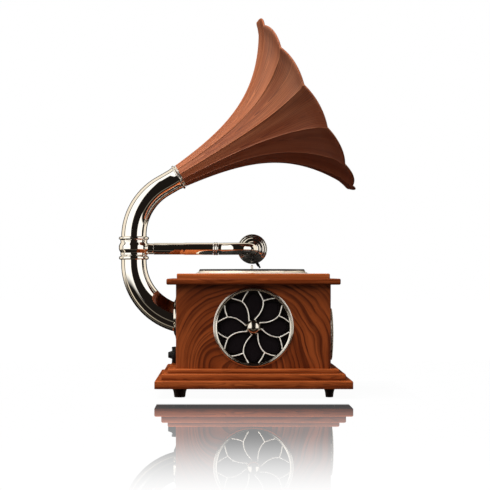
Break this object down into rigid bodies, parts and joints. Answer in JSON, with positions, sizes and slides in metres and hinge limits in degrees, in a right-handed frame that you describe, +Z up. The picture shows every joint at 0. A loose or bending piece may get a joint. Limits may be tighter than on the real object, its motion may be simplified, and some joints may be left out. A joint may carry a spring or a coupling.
{
  "type": "horn loudspeaker",
  "caption": "Table-top loudspeaker styled as an old gramophone: square wooden cabinet with rosette grilles, platter, swinging tonearm and a petalled horn on a bent chrome tube.",
  "frame": {"origin": "middle of the object's bounding box, on the floor that the feet stand on", "axes": "+Z up, +X towards the front, where the horn's mouth points, +Y away from the side that the picture shows"},
  "size_m": [0.2526, 0.2096, 0.3966],
  "materials": {
    "wood": "reddish-brown veneer with dark arching grain, satin lacquer",
    "dark_wood": "dark brown stained wood, satin",
    "horn_finish": "wood-grain finish, satin, the grain running from throat to rim",
    "chrome": "bright warm nickel plate",
    "dark_chrome": "bright nickel edges with darkened flat faces",
    "black": "black, satin",
    "cloth": "fine black speaker cloth",
    "steel": "plain zinc-plated steel",
    "brass": "plain turned brass",
    "ferrite": "dark grey ferrite",
    "paper": "black pressed paper",
    "circuit_board": "green circuit board with black parts"
  },
  "bodies": {
    "root": {"rear_near_foot": "dark_wood", "front_near_foot": "dark_wood", "rear_far_foot": "dark_wood", "front_far_foot": "dark_wood", "plinth_board": "wood", "plinth_step": "wood", "plinth_cap": "wood", "near_wall": "wood", "far_wall": "wood", "front_wall": "wood", "rear_wall": "wood", "top_board": "wood", "top_pad": "wood", "near_grille": "dark_chrome", "far_grille": "dark_chrome", "near_grille_cloth": "cloth", "far_grille_cloth": "cloth", "near_driver_frame": "steel", "near_driver_cone": "paper", "near_driver_magnet": "ferrite", "far_driver_frame": "steel", "far_driver_cone": "paper", "far_driver_magnet": "ferrite", "front_grille": "dark_chrome", "front_driver_frame": "steel", "front_driver_dome": "paper", "front_driver_magnet": "ferrite", "horn_driver": "ferrite", "amplifier_bracket": "steel", "amplifier_board": "circuit_board", "power_inlet": "black", "volume_control": "steel", "escutcheon": "chrome", "lower_elbow": "chrome", "swivel_spigot": "chrome", "platter_bush": "brass"},
    "turntable": {"platter": "chrome", "platter_mat": "black", "spindle": "chrome", "spindle_clip": "steel"},
    "knob": {"volume_shaft": "steel", "volume_knob": "black"},
    "arm": {"tonearm_sleeve": "chrome", "tonearm_tube": "chrome", "tonearm_collar": "chrome"},
    "sound_head": {"gooseneck": "chrome", "soundbox_case": "chrome", "soundbox_diaphragm": "steel", "soundbox_ring": "chrome", "needle_bar": "black"},
    "horn_assembly": {"upper_collar": "chrome", "upper_elbow": "chrome", "horn_ring": "chrome", "horn_bell": "horn_finish"}
  },
  "joints": [
    {"name": "platter_spin", "type": "hinge", "parent": "root", "child": "turntable", "pos_m": [0.0156, 0, 0.1263], "axis": [0, 0, 1], "continuous": true},
    {"name": "volume_turn", "type": "hinge", "parent": "root", "child": "knob", "pos_m": [-0.0633, 0, 0.0393], "axis": [-1, 0, 0], "range_deg": [-150, 150]},
    {"name": "tonearm_swing", "type": "hinge", "parent": "root", "child": "arm", "pos_m": [-0.11025, 0, 0.1537], "axis": [0, 0, 1], "range_deg": [-30, 30]},
    {"name": "soundbox_lift", "type": "hinge", "parent": "arm", "child": "sound_head", "pos_m": [-0.0204, 0, 0.1524], "axis": [1, 0, 0], "range_deg": [0, 90]},
    {"name": "horn_swivel", "type": "hinge", "parent": "root", "child": "horn_assembly", "pos_m": [-0.11025, 0, 0.162], "axis": [0, 0, 1], "range_deg": [-90, 90]}
  ]
}
